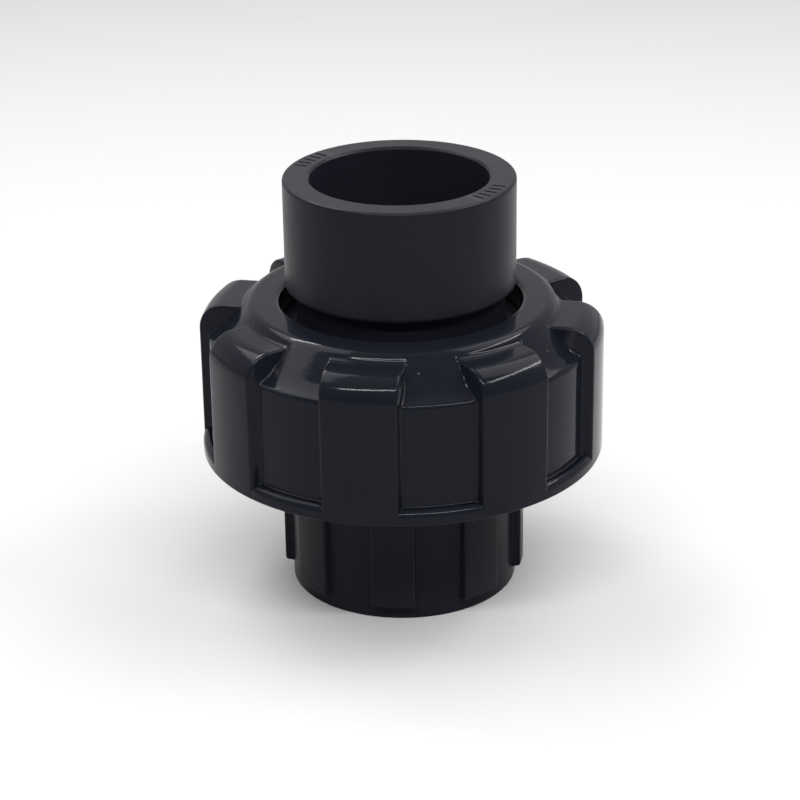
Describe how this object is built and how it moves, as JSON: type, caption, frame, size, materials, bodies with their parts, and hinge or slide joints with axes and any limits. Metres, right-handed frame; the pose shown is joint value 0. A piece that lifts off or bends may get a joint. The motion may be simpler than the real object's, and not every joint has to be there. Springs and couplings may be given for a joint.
{
  "type": "pipe union",
  "caption": "Plastic pipe union: two plain solvent-weld socket ends with an O-ring face seal between them, pulled together by a large lobed hand nut.",
  "frame": {"origin": "centre of the lower socket's end face, on the pipe axis", "axes": "+Z along the pipe axis, from the threaded half towards the tail piece; -Y is the side seen from the front"},
  "size_m": [0.0618, 0.0618, 0.0653],
  "materials": {
    "nut_plastic": "glossy moulded dark grey PVC",
    "body_plastic": "satin moulded dark grey PVC",
    "seal_rubber": "matt black EPDM"
  },
  "bodies": {
    "threaded_body": {"threaded_body": "body_plastic", "o_ring": "seal_rubber"},
    "tail_piece": {"tail_piece": "body_plastic"},
    "union_nut": {"union_nut": "nut_plastic"}
  },
  "joints": [
    {"name": "tail_lift", "type": "slide", "parent": "threaded_body", "child": "tail_piece", "axis": [0, 0, 1], "range_m": [0, 0.01401]},
    {"name": "nut_spin", "type": "hinge", "parent": "tail_piece", "child": "union_nut", "pos_m": [0, 0, 0.0342], "axis": [0, 0, 1], "range_deg": [0, 1260]}
  ],
  "couplings": [
    {"joint": "tail_lift", "follows": "nut_spin", "m_per_rad": 0.00063662}
  ]
}
